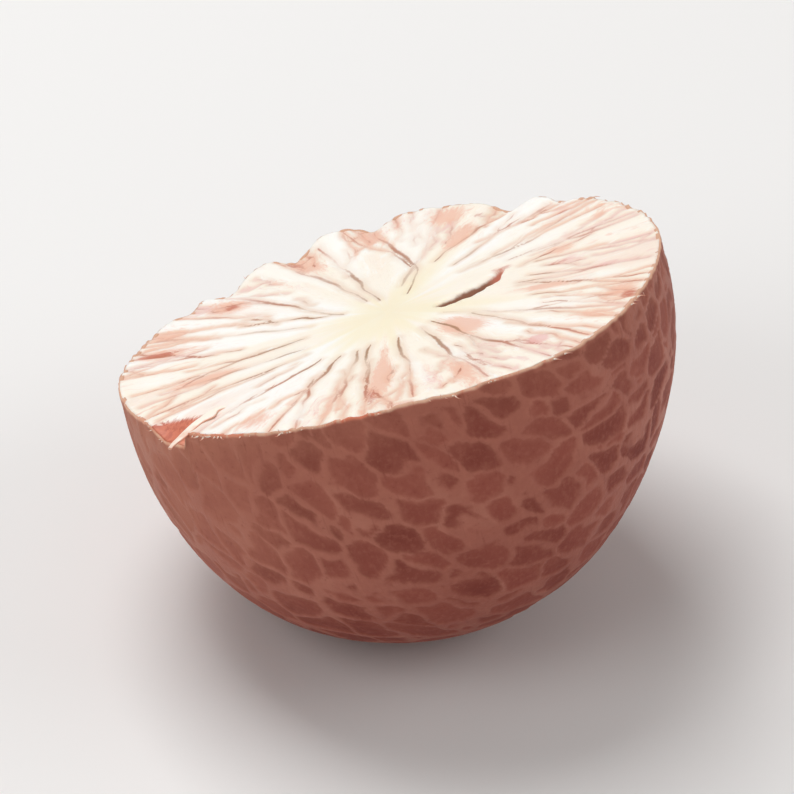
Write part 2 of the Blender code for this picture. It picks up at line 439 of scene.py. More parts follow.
def all_veins():
    """Every vein as points, with a half width and a darkness at each point."""
    draw = np.random.default_rng(VEIN_SEED)
    plans = [(*plan, 1.0) for plan in STRONG_VEINS]
    for number in range(FINE_VEIN_COUNT):
        angle = 360.0 * (number + draw.uniform(-0.35, 0.35)) / FINE_VEIN_COUNT
        start = draw.uniform(0.40, 0.84)
        plans.append((start, angle, min(1.0, start + draw.uniform(0.12, 0.5)),
                      angle + draw.uniform(-5.0, 5.0), draw.uniform(0.25, 0.7), 0.6))
    for start_share, start_angle, end_share, end_angle, dark, wide in list(plans):
        if draw.uniform() < FORK_SHARE:
            split = draw.uniform(0.35, 0.7)
            share = start_share + (end_share - start_share) * split
            angle = vein_angle(start_angle, end_angle, split)
            side = draw.choice((-1.0, 1.0)) * draw.uniform(3.0, 6.5)
            end = min(1.0, end_share + 0.02)
            plans.append((share, angle, end, end_angle + side, dark * 0.8, wide * 0.8))
    veins = []
    for start_share, start_angle, end_share, end_angle, dark, wide in plans:
        points, along = vein_path(start_share, start_angle, end_share, end_angle, draw)
        taper = np.minimum(1.0, 0.45 + 3.0 * along) * np.minimum(1.0, 0.35 + 3.0 * (1.0 - along))
        patchy = 0.8 + 0.35 * np.sin(along * draw.uniform(5.0, 14.0) + draw.uniform(0.0, PHASE_SPAN))
        veins.append((points, VEIN_WIDTH * wide * taper * patchy, dark * (1.0 - 0.35 * along) * patchy))
    return veins


def vein_guide(paths, widths, darks):
    """The veins as a mesh of edges that carries their widths and darkness."""
    edges = []
    start = 0
    for path in paths:
        edges += [(start + i, start + i + 1) for i in range(len(path) - 1)]
        start += len(path)
    guide = add_mesh("vein guide", np.vstack(paths).tolist(), edges, [])
    keep_numbers(guide, "half width", np.concatenate(widths))
    keep_numbers(guide, "dark", np.concatenate(darks))
    return guide


veins = all_veins()
guide = vein_guide(*zip(*veins))
print("veins:", len(veins), "with", len(guide.data.vertices), "points")

# %% [markdown]
# ## Node trees from short lines
# Both the carving below and the finishes are node trees. What a node gives out is called a signal
# here. An input of a node is either a number, which sets the socket, or a signal, which is linked.
# Signals can be added and multiplied with the usual signs, and each sign adds one Math node, so a
# formula in a tree reads as it would on paper.

# %% Helpers for node trees
class Signal:
    """What a node gives out; sums with signals add the nodes that work them out."""

    def __init__(self, socket):
        self.socket = socket
        self.tree = socket.id_data

    def __add__(self, other):
        return calc(self.tree, "ADD", self, other)

    def __sub__(self, other):
        return calc(self.tree, "SUBTRACT", self, other)

    def __rsub__(self, other):
        return calc(self.tree, "SUBTRACT", other, self)

    def __mul__(self, other):
        return calc(self.tree, "MULTIPLY", self, other)

    def __truediv__(self, other):
        return calc(self.tree, "DIVIDE", self, other)

    def __rtruediv__(self, other):
        return calc(self.tree, "DIVIDE", other, self)


def fill(node, key, value):
    """Fills one input of a node: links a signal to it, or sets it to a number."""
    if isinstance(value, Signal):
        node.id_data.links.new(value.socket, node.inputs[key])
    else:
        node.inputs[key].default_value = value


def add_node(tree, kind, inputs=None, **settings):
    """Adds a node, sets it up, and fills its inputs by name or by number."""
    node = tree.nodes.new(kind)
    for name, value in settings.items():
        setattr(node, name, value)
    for key, value in (inputs or {}).items():
        fill(node, key, value)
    return node


def wire(tree, kind, inputs=None, output=0, **settings):
    """Adds a node and hands on one of its outputs."""
    return Signal(add_node(tree, kind, inputs, **settings).outputs[output])


def calc(tree, operation, *values):
    """One arithmetic step."""
    return wire(tree, "ShaderNodeMath", dict(enumerate(values)), operation=operation)


def vector_calc(tree, operation, *values, scale=None):
    """One step with vectors; a dot product gives a number."""
    inputs = dict(enumerate(values))
    if scale is not None:
        inputs["Scale"] = scale
    output = "Value" if operation == "DOT_PRODUCT" else "Vector"
    return wire(tree, "ShaderNodeVectorMath", inputs, output, operation=operation)


def split(vector):
    """The three parts of a vector or of a colour."""
    return [Signal(part) for part in add_node(vector.tree, "ShaderNodeSeparateXYZ", {0: vector}).outputs]


def ramp(value, low, high, start=0.0, end=1.0):
    """A smooth rise from start to end as value goes from low to high."""
    sizes = {"Value": value, "From Min": low, "From Max": high, "To Min": start, "To Max": end}
    return wire(value.tree, "ShaderNodeMapRange", sizes, "Result", interpolation_type="SMOOTHSTEP")


def noise(place, scale, detail=3.0, rough=0.55, output=0):
    """Plain noise, about 0.5 on average; its colour output gives three of them as a vector."""
    sizes = {"Vector": place, "Scale": scale, "Detail": detail, "Roughness": rough}
    return wire(place.tree, "ShaderNodeTexNoise", sizes, output)


# %% Helpers for geometry trees
def new_shaper(name, labels, kinds=None):
    """A geometry tree whose named inputs are numbers unless kinds says otherwise."""
    tree = bpy.data.node_groups.new(name, "GeometryNodeTree")
    kinds = {"Geometry": "Geometry", **(kinds or {})}
    for label in ("Geometry", *labels):
        kind = "NodeSocket" + kinds.get(label, "Float")
        tree.interface.new_socket(label, in_out="INPUT", socket_type=kind)
    tree.interface.new_socket("Geometry", in_out="OUTPUT", socket_type="NodeSocketGeometry")
    inputs = {socket.name: Signal(socket) for socket in tree.nodes.new("NodeGroupInput").outputs}
    return tree, inputs, tree.nodes.new("NodeGroupOutput")


def shape_with(piece, tree, values):
    """Runs a tree on a piece with these input values and keeps the result as its plain mesh."""
    modifier = piece.modifiers.new(tree.name, "NODES")
    modifier.node_group = tree
    for item in tree.interface.items_tree:
        if item.item_type == "SOCKET" and item.in_out == "INPUT" and item.name in values:
            modifier[item.identifier] = values[item.name]
    bpy.context.view_layer.update()
    depsgraph = bpy.context.evaluated_depsgraph_get()
    result = piece.evaluated_get(depsgraph)
    mesh = bpy.data.meshes.new_from_object(result, preserve_all_data_layers=True, depsgraph=depsgraph)
    piece.modifiers.clear()
    piece.data = mesh
    print(tree.name, "made", len(mesh.vertices), "points")


def named_number(tree, name):
    """Reads a stored number inside a geometry tree."""
    return wire(tree, "GeometryNodeInputNamedAttribute", {"Name": name}, "Attribute", data_type="FLOAT")


def store_numbers(geometry, numbers):
    """Stores numbers at each point inside a geometry tree."""
    for name, value in numbers.items():
        inputs = {"Geometry": geometry, "Name": name, "Value": value}
        geometry = wire(geometry.tree, "GeometryNodeStoreNamedAttribute", inputs, data_type="FLOAT",
                        domain="POINT")
    return geometry


def move_points(geometry, offset):
    """Moves each point of a geometry."""
    return wire(geometry.tree, "GeometryNodeSetPosition", {"Geometry": geometry, "Offset": offset})


def finish_tree(geometry, output, material):
    """Ends a tree in plain geometry that wears one material."""
    real = wire(geometry.tree, "GeometryNodeRealizeInstances", {"Geometry": geometry})
    fill(output, 0, wire(real.tree, "GeometryNodeSetMaterial", {"Geometry": real, "Material": material}))


# %% [markdown]
# ## Carving the veins
# A vein is a groove that follows a path, which is work for Geometry Nodes: each point of the face
# asks how far the nearest vein is, sinks beside it, and remembers the distance so that the colour
# can follow the very same line. The distance is also kept with a sign for the vein's two sides: a
# number that runs evenly through zero draws an unbroken line, even between coarse points. Cutting
# the grooves with solid cutters would need hundreds of Booleans and leave ragged triangles.

# %% The carving tree
kernel_finish = bpy.data.materials.new("sawn kernel")
skin_finish = bpy.data.materials.new("netted skin")
splinter_finish = bpy.data.materials.new("rim splinters")
GROOVE_SPREAD = 1.9


def carving_tree():
    """Sinks the face beside its veins and stores how near each point is to one."""
    tree, inputs, output = new_shaper("carve veins", (
        "Veins", "Groove depth", "Groove least width", "Valley depth", "Valley half width"),
        {"Veins": "Object"})
    lines = wire(tree, "GeometryNodeObjectInfo", {"Object": inputs["Veins"]}, "Geometry")
    x, y, _ = split(wire(tree, "GeometryNodeInputPosition"))
    flat = wire(tree, "ShaderNodeCombineXYZ", {0: x, 1: y})
    asked = {0: lines, "Sample Position": flat}
    near = add_node(tree, "GeometryNodeProximity", asked, target_element="EDGES").outputs
    away = Signal(near["Distance"])
    across = vector_calc(tree, "SUBTRACT", flat, Signal(near["Position"]))
    side = calc(tree, "SIGN", split(vector_calc(tree, "CROSS_PRODUCT", flat, across))[2])
    nearest = wire(tree, "GeometryNodeSampleNearest", asked, domain="POINT")
    read = []
    for name in ("half width", "dark"):
        wanted = {0: lines, "Value": named_number(tree, name), "Index": nearest}
        read.append(wire(tree, "GeometryNodeSampleIndex", wanted, data_type="FLOAT", domain="POINT"))
    half_width, dark = read
    spread = calc(tree, "MAXIMUM", half_width * GROOVE_SPREAD, inputs["Groove least width"])
    groove = calc(tree, "EXPONENT", calc(tree, "POWER", away / spread, 2.0) * -1.0)
    groove = groove * dark * inputs["Groove depth"]
    valley = calc(tree, "EXPONENT", away / inputs["Valley half width"] * -1.0)
    valley = valley * named_number(tree, "outward") * inputs["Valley depth"]
    sink = (groove + valley) * (named_number(tree, "on face") * -1.0)
    shape = store_numbers(inputs["Geometry"], {
        "vein away": away, "vein side": away * side, "vein half width": half_width, "vein dark": dark})
    shape = move_points(shape, wire(tree, "ShaderNodeCombineXYZ", {2: sink}))
    finish_tree(shape, output, kernel_finish)
    return tree


keep_numbers(kernel, "on face", 1.0 - smooth_step(kernel_share, 0.995, 1.012))
keep_numbers(kernel, "outward", smooth_step(kernel_share, 0.22, 0.95))
shape_with(kernel, carving_tree(), {
    "Veins": guide, "Groove depth": 0.05 * MM, "Groove least width": 0.17 * MM,
    "Valley depth": 0.11 * MM, "Valley half width": 0.50 * MM})
bpy.data.objects.remove(guide, do_unlink=True)

# %% [markdown]
# ## Stains on the face
# Where a fold runs close under the cut, the brown of the skin shows through as a salmon or rust
# patch drawn out along the rays. Each patch is a soft spindle with its own place and strength, and
# the finish breaks up its edge later. A fan of directions, stored as vectors, lets the finish draw
# streaks that run outwards everywhere and meet without a seam.

# %% Patches, core and fan
# angle, share of radius, length as a share, half width in degrees, strength
SALMON_PATCHES = (
    (89, 0.90, 0.12, 2.6, 0.9), (106, 0.86, 0.16, 3.6, 0.9), (134, 0.82, 0.12, 4.5, 0.9),
    (62, 0.70, 0.12, 4.2, 0.9), (70, 0.90, 0.10, 4.5, 0.9), (305, 0.38, 0.10, 9.0, 1.2),
    (262, 0.62, 0.30, 3.6, 1.0), (342, 0.60, 0.13, 4.0, 0.9), (14, 0.67, 0.06, 4.0, 0.7),
    (189, 0.70, 0.14, 3.4, 0.9), (283, 0.84, 0.18, 3.2, 0.9), (161, 0.86, 0.16, 3.4, 0.8),
    (150, 0.92, 0.10, 4.0, 0.6), (232, 0.90, 0.10, 3.5, 0.7), (330, 0.93, 0.08, 5.0, 0.8),
    (318, 0.90, 0.12, 3.0, 0.6), (40, 0.93, 0.08, 4.0, 0.5), (118, 0.72, 0.12, 2.5, 0.5),
)
RUST_PATCHES = (
    (16, 0.44, 0.05, 5.0, 0.7), (134, 0.80, 0.05, 2.4, 0.9), (161, 0.90, 0.14, 1.6, 1.0),
    (260, 0.84, 0.10, 2.2, 0.8), (63, 0.90, 0.05, 3.0, 0.6), (108, 0.94, 0.06, 2.6, 0.8),
    (328, 0.96, 0.04, 4.0, 0.9), (211, 0.98, 0.07, 4.5, 0.9), (4, 0.62, 0.05, 2.6, 0.7),
)
PINK_PATCHES = (
    (304, 0.81, 0.05, 2.6, 1.2), (276, 0.77, 0.14, 3.4, 0.6), (298, 0.64, 0.12, 3.0, 0.6),
    (4, 0.66, 0.08, 3.0, 0.7), (36, 0.86, 0.16, 6.0, 0.4), (84, 0.92, 0.10, 6.0, 0.4),
    (246, 0.84, 0.16, 4.0, 0.5), (352, 0.80, 0.10, 3.0, 0.5),
)
CLEAN_LOBES = (
    (98, 0.75, 0.32, 4.0, 1.0), (78, 0.70, 0.30, 6.0, 1.0), (114, 0.88, 0.16, 4.0, 0.9),
    (110, 0.60, 0.20, 4.0, 0.7), (50, 0.84, 0.18, 5.0, 0.9), (27, 0.60, 0.20, 9.0, 0.8),
    (155, 0.50, 0.22, 6.0, 0.9), (143, 0.76, 0.14, 3.0, 0.6), (196, 0.48, 0.20, 6.0, 0.8),
    (222, 0.62, 0.34, 5.0, 1.0), (241, 0.86, 0.14, 3.5, 0.8), (274, 0.62, 0.20, 2.5, 0.7),
    (288, 0.60, 0.25, 3.0, 0.7), (325, 0.60, 0.26, 6.0, 1.0), (343, 0.74, 0.18, 4.0, 0.7),
    (180, 0.85, 0.12, 5.0, 0.7),
)
CORE_PLACE = (-0.02, -0.05)
CORE_REACH = 0.17
# angle, extra reach as a share, half width in degrees
CORE_RAYS = ((63, 0.30, 15.0), (332, 0.20, 12.0), (118, 0.07, 8.0), (160, 0.06, 9.0), (228, 0.08, 10.0),
             (265, 0.05, 6.0))
FAN_TURNS = 9.0
FAN_RUN = 1.6


def patch_strength(patches, angle, share):
    """The sum of drawn-out soft spots at each point."""
    total = np.zeros_like(angle)
    for middle, middle_share, length, half_width, strength in patches:
        away = turn_from(math.radians(middle), angle) / math.radians(half_width)
        total += strength * np.exp(-away ** 2 - ((share - middle_share) / length) ** 2)
    return total


def core_strength(place, angle):
    """The plain yellower core, which reaches out along a few lobes."""
    away = np.hypot(place[:, 0] / FACE_RADIUS - CORE_PLACE[0], place[:, 1] / FACE_RADIUS - CORE_PLACE[1])
    reach = CORE_REACH * (1.0 + 0.18 * fine_waves(angle, 8, 9, 40)) + marks_round(CORE_RAYS, angle)
    return 1.0 - smooth_step(away / reach, 0.5, 1.7)


def fan_directions(angle, share):
    """A direction on a drum: noise read from it makes streaks that run out from the core."""
    return np.column_stack((FAN_TURNS * np.cos(angle), FAN_TURNS * np.sin(angle), FAN_RUN * share))


face_share = np.minimum(kernel_share, 1.0)
for name, patches, most in (("salmon", SALMON_PATCHES, None), ("rust", RUST_PATCHES, None),
                            ("pink", PINK_PATCHES, None), ("clean", CLEAN_LOBES, 1.0)):
    keep_numbers(kernel, name, np.clip(patch_strength(patches, kernel_angle, face_share), 0.0, most))
keep_numbers(kernel, "core", core_strength(kernel_place, kernel_angle))
keep_numbers(kernel, "share", kernel_share)
keep_numbers(kernel, "slit", slit_closeness(kernel_place[:, 0], kernel_place[:, 1]) * (kernel_share < 1.0))
keep_numbers(kernel, "torn", tear_depth(kernel_angle, face_share) / TEAR_DEPTH)
keep_vectors(kernel, "fan", fan_directions(kernel_angle, kernel_share))
print("patches:", len(SALMON_PATCHES) + len(RUST_PATCHES) + len(PINK_PATCHES))

# %% [markdown]
# ## The skin
# The skin is a thin shell: an outer wall, a sawn edge and an inner wall hidden against the kernel.
# It is made as one run of rings that goes up the inside, over the edge and down the outside, so it
# is closed like the real thing. Its edge is ragged, because dry skin crumbles under the saw.

# %% Skin mesh
SKIN_THICKNESS = 0.32 * MM
SKIN_STEPS = 150
EDGE_COUNT = 576
SKIN_COUNTS = ((7.6 * MM, EDGE_COUNT), (3.8 * MM, 288), (1.9 * MM, 144), (0.95 * MM, 72), (-1, 36))
RAGGED_DEPTH = 0.07 * MM
INNER_RUNS = (0.93, 0.86, 0.79, 0.72, 0.65, 0.58, 0.51, 0.44, 0.37, 0.30, 0.23, 0.16, 0.09, 0.04)
INNER_COUNTS = (36, 72) + (144,) * 11 + (288,)
# run, inset and drop as shares, how far it counts as outside
EDGE_RINGS = ((0.012, 1.0, 1.0, 0.0), (0.0, 0.85, 1.2, 0.5), (0.0, 0.4, 1.0, 1.0), (0.0, 0.08, 1.15, 1.0))


def ragged_drop(angle):
    """How far the skin's edge has crumbled below the kernel's."""
    grain = 0.5 + 0.5 * fine_waves(angle, 3, 20, 160)
    return RAGGED_DEPTH * (0.25 + smooth_step(grain, 0.2, 0.9))


def skin_rings():
    """Rings up the inner wall, over the edge and down the outer wall, and which are outside."""
    rows = []
    for run, count in zip(INNER_RUNS, INNER_COUNTS):
        rows.append((side_points(run, ring_angles(count), SKIN_THICKNESS), run, 0.0))
    angle = ring_angles(EDGE_COUNT)
    drop = np.outer(ragged_drop(angle), (0.0, 0.0, 1.0))
    for run, inset, lowered, outside in EDGE_RINGS:
        rows.append((side_points(run, angle, SKIN_THICKNESS * inset) - lowered * drop, run, outside))
    for step in range(1, SKIN_STEPS):
        run = 0.004 + 0.996 * step / SKIN_STEPS
        angle = ring_angles(ring_size(DOME_RADIUS * math.sin(angle_down(run)), SKIN_COUNTS))
        ring = side_points(run, angle)
        ring[:, 2] -= ragged_drop(angle) * (1.0 - smooth_step(run, 0.004, 0.03))
        rows.append((ring, run, 1.0))
    return zip(*rows)


rings, ring_runs, ring_outside = skin_rings()
skin = closed_mesh("skin", rings, side_points(1.0, np.zeros(1), SKIN_THICKNESS),
                   side_points(1.0, np.zeros(1)))
skin_run = per_point(rings, ring_runs, 1.0, 1.0)
skin_outside = per_point(rings, ring_outside, 0.0, 1.0)
skin_angle = angles_of(rings)

# %% [markdown]
# ## The net on the skin
# Strands of the husk leave a pale net on the skin, with darker islands between its cords. The
# strands run round the seed in rings, so the islands are longer along those rings. A cell pattern
# makes such a net: a cord stands wherever a border between two cells is near, here wide and there
# narrow. Where three cells meet, the distance to the nearest cell differs most from a softened
# one, and that widens the cords and rounds the corners of the islands. Geometry Nodes read the
# pattern, sink the islands and keep the net for the finish, so that relief and colour agree.

# %% The net tree
NET_POLE = tuple(Vector((0.55, -0.59, 0.59)).normalized())
CORNER_WIDENING = 0.10


def net_places(tree, cell_size, stretch, waver):
    """Places counted in cells, squeezed along the rings round the pole and shaken a little."""
    place = wire(tree, "GeometryNodeInputPosition")
    outward = vector_calc(tree, "NORMALIZE", vector_calc(tree, "ADD", place, (0.0, 0.0, CUT_ABOVE_GIRTH)))
    height = vector_calc(tree, "DOT_PRODUCT", outward, NET_POLE)
    turned = vector_calc(tree, "SUBTRACT", outward, vector_calc(tree, "SCALE", NET_POLE, scale=height))
    cells_across = DOME_RADIUS / cell_size
    turned = vector_calc(tree, "SCALE", turned, scale=cells_across / stretch)
    level = calc(tree, "ARCCOSINE", height) * cells_across
    cells = vector_calc(tree, "ADD", turned, vector_calc(tree, "SCALE", NET_POLE, scale=level))
    shake = vector_calc(tree, "SUBTRACT", noise(cells, 0.8, 2.0, 0.5, "Color"), (0.5, 0.5, 0.5))
    return vector_calc(tree, "ADD", cells, vector_calc(tree, "SCALE", shake, scale=waver))


def net_tree():
    """Sinks the islands of the outer wall, so that a net of cords stands between them."""
    tree, inputs, output = new_shaper("raise net", (
        "Cell size", "Stretch", "Waver", "Softness", "Cord width", "Island depth", "Pit depth"))
    cells = net_places(tree, inputs["Cell size"], inputs["Stretch"], inputs["Waver"])
    pattern = {"Vector": cells, "Scale": 1.0, "Randomness": 0.95}
    soft = {**pattern, "Smoothness": inputs["Softness"]}
    nearest = add_node(tree, "ShaderNodeTexVoronoi", pattern, feature="F1").outputs
    softened = wire(tree, "ShaderNodeTexVoronoi", soft, "Distance", feature="SMOOTH_F1")
    border = wire(tree, "ShaderNodeTexVoronoi", pattern, "Distance", feature="DISTANCE_TO_EDGE")
    corner = 8.0 / inputs["Softness"] * (Signal(nearest["Distance"]) - softened)
    border = border - ramp(corner, 0.8, 1.8, 0.0, CORNER_WIDENING)
    reach = ramp(noise(cells, 0.7, 2.0, 0.5), 0.3, 0.7, 0.5, 1.7) * inputs["Cord width"]
    net = ramp(border, reach, reach * 0.15)
    pits = noise(cells, 4.0, 4.0, 0.5)
    sink = (1.0 - net) * inputs["Island depth"] + pits * inputs["Pit depth"]
    sink = sink * -1.0 * named_number(tree, "outside")
    shape = store_numbers(inputs["Geometry"], {
        "net": net, "beside net": ramp(border, 0.30, 0.0), "island": split(Signal(nearest["Color"]))[0]})
    normal = wire(tree, "GeometryNodeInputNormal")
    shape = move_points(shape, vector_calc(tree, "SCALE", normal, scale=sink))
    finish_tree(shape, output, skin_finish)
    return tree


keep_numbers(skin, "outside", skin_outside * smooth_step(skin_run, 0.0, 0.02))
shape_with(skin, net_tree(), {
    "Cell size": 1.75 * MM, "Stretch": 1.5, "Waver": 1.1, "Softness": 1.0, "Cord width": 0.118,
    "Island depth": 0.07 * MM, "Pit depth": 0.04 * MM})

# %% The rubbed and the frayed side
RUBBED_SIDE = math.radians(196.0)
FRAYED_SIDE = math.radians(255.0)
near_rim = 1.0 - smooth_step(skin_run, 0.1, 0.65)
keep_numbers(skin, "run", skin_run)
keep_numbers(skin, "tan", bell(turn_from(RUBBED_SIDE, skin_angle), 0.75) * near_rim)
keep_numbers(skin, "frayed", bell(turn_from(FRAYED_SIDE, skin_angle), 0.9))
keep_vectors(skin, "fan", fan_directions(skin_angle, skin_run))

# %% [markdown]
# ## Splinters on the rim
# The saw pulls short shreds out of the rim. Each is a tapered, bent thread. Geometry Nodes set
# copies of one thread along the rim, more of them at the front left where the rim is torn, and
# turn and size them at random with a fixed seed.

# %% The rim's guide
RIM_STEPS = 720
# angle, how ragged the rim is, half width in degrees
SPLINTER_SPOTS = (
    (223.0, 0.6, 5.0), (234.0, 0.4, 3.0), (243.0, 0.5, 4.0), (276.0, 0.3, 2.0), (286.0, 0.4, 2.5),
    (326.0, 0.4, 3.0), (262.0, 0.2, 2.0), (300.0, 0.2, 2.0), (205.0, 0.3, 3.0), (130.0, 0.05, 30.0),
    (40.0, 0.05, 30.0),
)


def rim_guide():
    """A loop just inside the rim that knows its outward direction and how ragged it is."""
    angle = ring_angles(RIM_STEPS)
    points = side_points(0.006, angle, 0.10 * MM)
    edges = [(i, (i + 1) % RIM_STEPS) for i in range(RIM_STEPS)]
    loop = add_mesh("splinters", points.tolist(), edges, [])
    outward = np.column_stack((np.cos(angle), np.sin(angle), np.full(RIM_STEPS, 0.15)))
    keep_numbers(loop, "ragged", marks_round(SPLINTER_SPOTS, angle))
    keep_vectors(loop, "outward", outward)
    return loop


# %% The splinter tree
def splinter_tree():
    """Sets bent threads along a loop, more of them where the loop is more ragged."""
    tree, inputs, output = new_shaper("set splinters", (
        "Length", "Thickness", "Bend", "Wildness", "Seed"), {"Seed": "Int"})
    handle = wire(tree, "ShaderNodeCombineXYZ", {2: inputs["Length"] * 0.6})
    end = wire(tree, "ShaderNodeCombineXYZ", {0: inputs["Bend"], 2: inputs["Length"]})
    line = wire(tree, "GeometryNodeCurvePrimitiveBezierSegment", {
        "Resolution": 5, "Start": (0, 0, 0), "Start Handle": handle, "End Handle": handle, "End": end})
    along = wire(tree, "GeometryNodeSplineParameter", output="Factor")
    line = store_numbers(line, {"tip": along})
    ring = wire(tree, "GeometryNodeCurvePrimitiveCircle", {"Resolution": 5, "Radius": 1.0})
    width = ramp(along, 0.35, 1.0, 1.0, 0.12) * inputs["Thickness"]
    thread = wire(tree, "GeometryNodeCurveToMesh", {
        0: line, "Profile Curve": ring, "Scale": width, "Fill Caps": True})
    chance = wire(tree, "FunctionNodeRandomValue", {"Seed": inputs["Seed"]}, 1, data_type="FLOAT")
    ragged = named_number(tree, "ragged")
    chosen = wire(tree, "FunctionNodeCompare", {0: ragged, 1: chance}, operation="GREATER_THAN")
    outward = wire(tree, "GeometryNodeInputNamedAttribute", {"Name": "outward"}, data_type="FLOAT_VECTOR")
    jitter = wire(tree, "FunctionNodeRandomValue", {
        0: (-1.0, -1.0, -1.0), 1: (1.0, 1.0, 0.7), "Seed": inputs["Seed"]}, data_type="FLOAT_VECTOR")
    aim = vector_calc(tree, "ADD", outward, vector_calc(tree, "SCALE", jitter, scale=inputs["Wildness"]))
    facing = wire(tree, "FunctionNodeAlignRotationToVector", {"Vector": aim}, axis="Z")
    size = wire(tree, "FunctionNodeRandomValue", {2: 0.35, 3: 1.0, "Seed": 9}, 1, data_type="FLOAT")
    points = wire(tree, "GeometryNodeMeshToPoints", {0: inputs["Geometry"], "Selection": chosen})
    placed = wire(tree, "GeometryNodeInstanceOnPoints", {
        0: points, "Instance": thread, "Rotation": facing, "Scale": size})
    finish_tree(placed, output, splinter_finish)
    return tree


splinters = rim_guide()
shape_with(splinters, splinter_tree(), {
    "Length": 0.60 * MM, "Thickness": 0.06 * MM, "Bend": 0.25 * MM, "Wildness": 0.7, "Seed": 4})

# %% [markdown]
# ## The torn sliver
# Beside the tear a sliver of kernel still hangs on. It leaves the face at its inner end, runs out
# along the tear, and droops past the rim. It is a flat tube of rings whose width wavers a little,
# made by the same joining of rings as the large pieces.

# %% The sliver's rings
SLIVER_FROM = (0.77, 216.4)
SLIVER_TO = (1.085, 217.6)
SLIVER_HALF_WIDTH = 0.42 * MM
SLIVER_HALF_THICKNESS = 0.14 * MM
SLIVER_RISE = 0.05 * MM
SLIVER_ROOT = 0.45 * MM
SLIVER_DROOP = 0.42 * MM
SLIVER_STEPS = 48
SLIVER_SIDES = 20


def sliver_rings():
    """Rings from the sliver's root to its tip, and how stained each point is: most at the edges."""
    around = -ring_angles(SLIVER_SIDES)
    rings, tips = [], []
    for step in range(SLIVER_STEPS):
        along = (step + 0.5) / SLIVER_STEPS
        share = SLIVER_FROM[0] + (SLIVER_TO[0] - SLIVER_FROM[0]) * along
        angle = math.radians(SLIVER_FROM[1] + (SLIVER_TO[1] - SLIVER_FROM[1]) * along)
        radius = share * float(outline_radius(np.array([angle]))[0])
        ragged = float(fine_waves(np.array([PHASE_SPAN * along]), 21, 1, 5)[0])
        width = SLIVER_HALF_WIDTH * min(1.0, 2.5 * along + 0.3) * (1.0 - 0.62 * along ** 3)
        thickness = SLIVER_HALF_THICKNESS * (1.0 - 0.5 * along)
        height = SLIVER_RISE - SLIVER_ROOT * (1.0 - along) ** 12 - SLIVER_DROOP * along ** 3
        sideways = width * (1.0 + 0.10 * ragged) * np.cos(around) + 0.05 * MM * ragged
        x = radius * math.cos(angle) - sideways * math.sin(angle)
        y = radius * math.sin(angle) + sideways * math.cos(angle)
        height = height + saw_unevenness(x, y) + thickness * np.sin(around)
        rings.append(np.column_stack((x, y, height)))
        tips.append(0.35 * along + 0.7 * np.abs(np.cos(around)) ** 12)
    return rings, tips


rings, tips = sliver_rings()
sliver = closed_mesh("torn_sliver", rings, rings[0].mean(0), rings[-1].mean(0))
sliver.data.materials.append(splinter_finish)
keep_numbers(sliver, "tip", per_point(rings, tips, 0.0, 1.0))

# %% [markdown]
# ## The kernel's finish
# Dried kernel is hard and waxy, close to white, with a touch of cream at the core. The veins are
# grey-brown beside the core and turn rust towards the rim. The stored distances draw them as crisp
# lines at any size, and fine noise breaks them up. Patches get ragged edges the same way, and a
# coarse noise bends the streaks, as the folds of the kernel bend.

# %% Colours and paint helpers
def photo_colour(red, green, blue):
    """A colour read from the photo, 0 to 255, as the linear values that shaders use."""
    shares = [value / 255 for value in (red, green, blue)]
    linear = [((share + 0.055) / 1.055) ** 2.4 if share > 0.04 else share / 12.92 for share in shares]
    return (*linear, 1.0)


def blend(first, second, share):
    """Mixes two colours: a share of 0 gives the first, 1 the second."""
    return wire(share.tree, "ShaderNodeMix", {0: share, 6: first, 7: second}, 2, data_type="RGBA")


def layer(tone, colour, value, low, high, most=1.0):
    """Lays a colour over a tone, more of it as value goes from low to high."""
    return blend(tone, colour, ramp(value, low, high, 0.0, most))


def stored(tree, name, output="Fac"):
    """Reads a stored number or vector inside a finish."""
    return wire(tree, "ShaderNodeAttribute", None, output, attribute_name=name)


def start_finish(material):
    """Opens a material's tree and returns it with its shader and the place on the piece."""
    material.use_nodes = True
    tree = material.node_tree
    return tree, tree.nodes["Principled BSDF"], wire(tree, "ShaderNodeTexCoord", None, "Object")


def add_relief(shader, height, strength, distance):
    """Gives a finish a fine relief that is too small for the mesh."""
    relief = {"Strength": strength, "Distance": distance, "Height": height}
    fill(shader, "Normal", wire(height.tree, "ShaderNodeBump", relief))


# %% The kernel's finish, built up in layers
CREAM = photo_colour(253, 244, 230)
IVORY = photo_colour(250, 238, 208)
CHALK = photo_colour(255, 253, 248)
BLUSH = photo_colour(248, 226, 212)
SHADE = photo_colour(236, 214, 194)
SALMON = photo_colour(238, 186, 162)
ROSE = photo_colour(238, 198, 192)
RUST = photo_colour(196, 104, 80)
PINK = photo_colour(228, 160, 158)
VEIN_BROWN = photo_colour(162, 116, 80)
VEIN_RUST = photo_colour(192, 116, 90)
SLIT_BROWN = photo_colour(148, 98, 74)
SLIT_RED = photo_colour(214, 146, 126)
TORN_RUST = photo_colour(214, 124, 96)
EDGE_BROWN = photo_colour(214, 160, 130)
STREAK_BEND = 1.1


